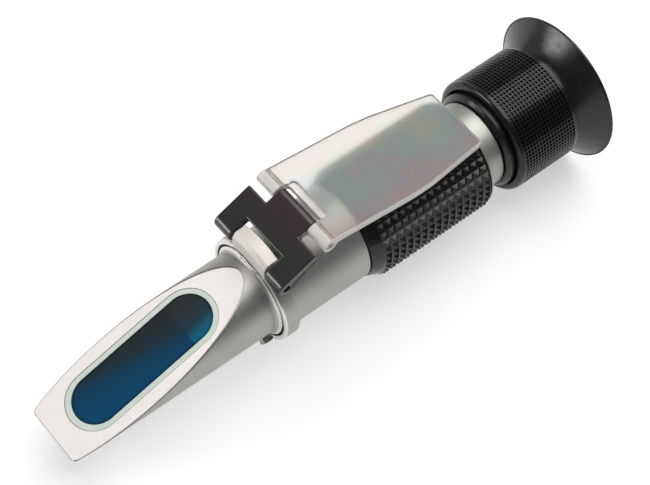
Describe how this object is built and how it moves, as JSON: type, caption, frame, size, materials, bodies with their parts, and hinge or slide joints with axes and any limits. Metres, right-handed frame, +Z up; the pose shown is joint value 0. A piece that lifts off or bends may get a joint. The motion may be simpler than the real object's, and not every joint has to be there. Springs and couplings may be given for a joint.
{
  "type": "hand-held refractometer",
  "caption": "Tube-shaped optical instrument: oblique prism nose with a hinged clear cover, rubber-gripped barrel and a focusing eyepiece with a flared eyecup.",
  "frame": {"origin": "on the optical axis, 18.5 mm behind the front edge of the grip", "axes": "+X along the optical axis towards the eyepiece, +Z up, on the side that the prism face and its cover are on"},
  "size_m": [0.16, 0.0412, 0.0448],
  "materials": {
    "aluminium": "satin",
    "prism_glass": "polished, deep blue coated",
    "lens_glass": "polished",
    "pale_seal": "matt sealing compound",
    "steel": "ground",
    "grip_rubber": "moulded with pyramid studs",
    "eyecup_rubber": "smooth satin",
    "black_anodised": "satin black",
    "brass": "plain",
    "black_plastic": "glossy moulding",
    "clear_plastic": "clear, finely frosted inside"
  },
  "bodies": {
    "body": {"nose_housing": "aluminium", "prism": "prism_glass", "prism_seal": "pale_seal", "hinge_collar": "aluminium", "lug_pin": "steel", "main_barrel": "aluminium", "grip_sleeve": "grip_rubber", "thermal_mount": "black_anodised", "bimetal_strip": "brass", "light_stop": "black_anodised", "reticle_holder": "black_anodised", "reticle": "lens_glass", "reticle_ring": "black_anodised", "eyepiece_tube": "black_anodised"},
    "link": {"hinge_link": "black_plastic"},
    "cover": {"cover_plate": "clear_plastic", "plate_pin": "steel"},
    "calibration": {"calibration_screw": "steel"},
    "objective": {"objective_cell": "brass", "objective_lens": "lens_glass", "objective_ring": "black_anodised"},
    "carrier": {"lens_carrier": "black_anodised", "field_lens": "lens_glass", "lens_spacer": "black_anodised", "eye_lens": "lens_glass", "lens_ring": "black_anodised", "focus_o_ring": "grip_rubber", "guide_pin": "steel"},
    "focus": {"focus_ring": "black_anodised", "eyecup": "eyecup_rubber"}
  },
  "joints": [
    {"name": "link_hinge", "type": "hinge", "parent": "body", "child": "link", "pos_m": [-0.045, 0, 0.0158], "axis": [0, -1, 0], "range_deg": [0, 174.66]},
    {"name": "cover_hinge", "type": "hinge", "parent": "link", "child": "cover", "pos_m": [-0.0323, 0, 0.0222], "axis": [0, -1, 0], "range_deg": [0, 31.24]},
    {"name": "calibration_turn", "type": "hinge", "parent": "body", "child": "calibration", "pos_m": [-0.0488, 0, 0], "axis": [0, -0.788, -0.6157], "range_deg": [-180, 180]},
    {"name": "objective_shift", "type": "slide", "parent": "body", "child": "objective", "axis": [0, -0.788, -0.6157], "range_m": [-0.000175, 0.000175]},
    {"name": "focus_slide", "type": "slide", "parent": "body", "child": "carrier", "axis": [1, 0, 0], "range_m": [-0.0015, 0.0015]},
    {"name": "focus_turn", "type": "hinge", "parent": "carrier", "child": "focus", "pos_m": [0.0282, 0, 0], "axis": [1, 0, 0], "range_deg": [-180, 180]}
  ],
  "couplings": [
    {"joint": "calibration_turn", "follows": "objective_shift", "rad_per_m": 17950},
    {"joint": "focus_turn", "follows": "focus_slide", "rad_per_m": 2094.4}
  ]
}
